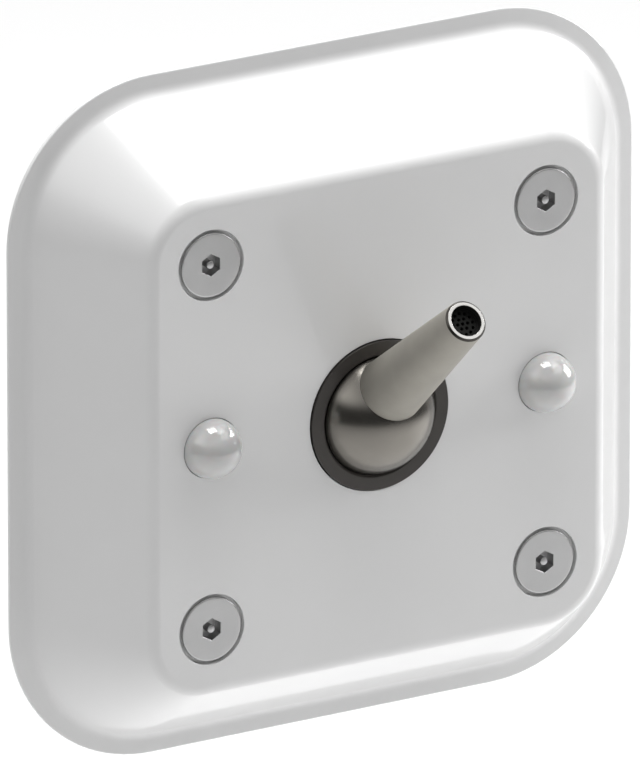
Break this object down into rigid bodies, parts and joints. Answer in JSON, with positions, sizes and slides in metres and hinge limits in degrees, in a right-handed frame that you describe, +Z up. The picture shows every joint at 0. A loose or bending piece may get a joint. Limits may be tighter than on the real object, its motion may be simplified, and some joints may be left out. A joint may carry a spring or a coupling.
{
  "type": "wall-mounted swivel nozzle outlet",
  "caption": "Square white wall housing with sloping sides, security screws and domed indicator lenses, holding a ball-jointed tapered nozzle in a dark ring.",
  "frame": {"origin": "centre of the wall-screw circle, on the wall plane behind the housing", "axes": "+X to the viewer's right, +Z up, +Y into the wall; the front face looks along -Y"},
  "size_m": [0.12, 0.0501, 0.12],
  "materials": {
    "white_cover": "smooth gloss white powder coat",
    "lens_white": "glossy opal white",
    "dark_ring": "dark satin black-brown finish",
    "nozzle_metal": "warm grey satin turned metal",
    "insert_dark": "matt black",
    "screw_steel": "satin steel",
    "plate_metal": "mill finish",
    "black_rubber": "matt black rubber",
    "seat_plastic": "natural acetal",
    "board_green": "solder mask",
    "terminal_green": "moulded",
    "led_clear": "cast clear resin"
  },
  "bodies": {
    "housing": {"front_cover": "white_cover", "wall_gasket": "black_rubber", "back_plate": "plate_metal", "standoff_top_left": "plate_metal", "standoff_top_right": "plate_metal", "standoff_bottom_left": "plate_metal", "standoff_bottom_right": "plate_metal", "security_screw_top_left": "screw_steel", "security_screw_top_right": "screw_steel", "security_screw_bottom_left": "screw_steel", "security_screw_bottom_right": "screw_steel", "retaining_ring": "dark_ring", "ring_gasket": "black_rubber", "socket_body": "plate_metal", "socket_gasket": "black_rubber", "disc_spring": "screw_steel", "indicator_lens_left": "lens_white", "indicator_lens_right": "lens_white", "lens_gasket_left": "black_rubber", "lens_gasket_right": "black_rubber", "lens_retainer_left": "screw_steel", "lens_retainer_right": "screw_steel", "led_left": "led_clear", "led_right": "led_clear", "indicator_board": "board_green", "terminal_block": "terminal_green", "board_spacers": "plate_metal", "board_screws": "screw_steel", "cable_grommet": "black_rubber"},
    "ball_carrier": {"rear_ball_seat": "seat_plastic", "ball_seal": "black_rubber"},
    "nozzle": {"swivel_ball": "nozzle_metal", "nozzle_tube": "nozzle_metal", "spray_insert": "insert_dark"}
  },
  "joints": [
    {"name": "nozzle_pan", "type": "hinge", "parent": "housing", "child": "ball_carrier", "pos_m": [0, -0.0163, 0], "axis": [0, -1, 0], "continuous": true},
    {"name": "nozzle_tilt", "type": "hinge", "parent": "ball_carrier", "child": "nozzle", "pos_m": [0, -0.0163, 0], "axis": [1, 0, 0], "range_deg": [0, 77.6]}
  ]
}
